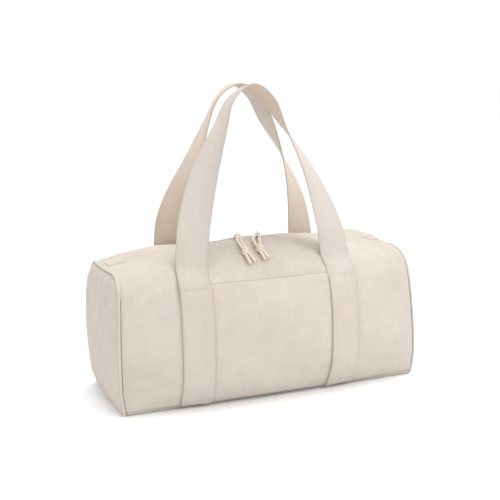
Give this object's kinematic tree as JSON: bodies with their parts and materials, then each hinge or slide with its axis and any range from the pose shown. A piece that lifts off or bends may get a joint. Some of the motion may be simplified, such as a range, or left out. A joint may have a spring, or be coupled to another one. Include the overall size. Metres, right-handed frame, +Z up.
{
  "type": "travel bag",
  "caption": "Barrel-shaped cotton canvas travel bag with a flat base, piped bulging ends, a zip along the crown on knotted cord pulls, tall twisting strap handles and a slip pocket.",
  "frame": {"origin": "middle of the flat base, on the surface that the bag stands on", "axes": "+X along the bag towards its right end, -Y towards the front with the pocket, +Z up"},
  "size_m": [0.529, 0.2483, 0.4905],
  "materials": {
    "cotton_canvas": "coarse plain-weave natural cotton canvas, matt",
    "strap_canvas": "folded cotton canvas strap with edge stitching, matt",
    "cotton_cord": "twisted natural cotton cord, matt",
    "cotton_tape": "narrow woven cotton tape, matt",
    "zip_coil": "moulded coil, satin",
    "slider_metal": "aged antique finish, satin",
    "sewing_thread": "twisted sewing thread, matt"
  },
  "bodies": {
    "bag_body": {"base_panel": "cotton_canvas", "front_panel": "cotton_canvas", "back_panel": "cotton_canvas", "left_end_panel": "cotton_canvas", "right_end_panel": "cotton_canvas", "left_end_piping": "cotton_canvas", "right_end_piping": "cotton_canvas", "left_end_binding": "cotton_tape", "right_end_binding": "cotton_tape", "front_base_binding": "cotton_tape", "back_base_binding": "cotton_tape", "front_pocket": "cotton_canvas", "front_zip_tape": "cotton_tape", "back_zip_tape": "cotton_tape", "front_zip_coil": "zip_coil", "back_zip_coil": "zip_coil", "left_zip_tab": "cotton_canvas", "right_zip_tab": "cotton_canvas", "front_left_strap": "strap_canvas", "front_right_strap": "strap_canvas", "back_left_strap": "strap_canvas", "back_right_strap": "strap_canvas", "front_left_strap_stitching": "sewing_thread", "front_right_strap_stitching": "sewing_thread", "back_left_strap_stitching": "sewing_thread", "back_right_strap_stitching": "sewing_thread"},
    "left_slider": {"left_slider": "slider_metal"},
    "right_slider": {"right_slider": "slider_metal"},
    "left_pull": {"left_pull": "cotton_cord"},
    "right_pull": {"right_pull": "cotton_cord"},
    "front_handle": {"front_handle": "strap_canvas"},
    "back_handle": {"back_handle": "strap_canvas"}
  },
  "joints": [
    {"name": "front_handle_hinge", "type": "hinge", "parent": "bag_body", "child": "front_handle", "pos_m": [0, -0.09545, 0.2], "axis": [1, 0, 0], "range_deg": [0, 105]},
    {"name": "back_handle_hinge", "type": "hinge", "parent": "bag_body", "child": "back_handle", "pos_m": [0, 0.09525, 0.2], "axis": [-1, 0, 0], "range_deg": [0, 105]},
    {"name": "left_slider_travel", "type": "hinge", "parent": "bag_body", "child": "left_slider", "pos_m": [0, 0, -1.04826], "axis": [0, -1, 0], "range_deg": [0, 8.13], "deforming": ["left_pull"]},
    {"name": "right_slider_travel", "type": "hinge", "parent": "bag_body", "child": "right_slider", "pos_m": [0, 0, -1.04826], "axis": [0, 1, 0], "range_deg": [0, 8.8], "deforming": ["right_pull"]},
    {"name": "left_pull_hinge", "type": "hinge", "parent": "left_slider", "child": "left_pull", "pos_m": [-0.02512, 0, 0.24566], "axis": [-1, 0, 0], "range_deg": [0, 175]},
    {"name": "right_pull_hinge", "type": "hinge", "parent": "right_slider", "child": "right_pull", "pos_m": [0.01005, 0, 0.24586], "axis": [-1, 0, 0], "range_deg": [0, 175]}
  ]
}
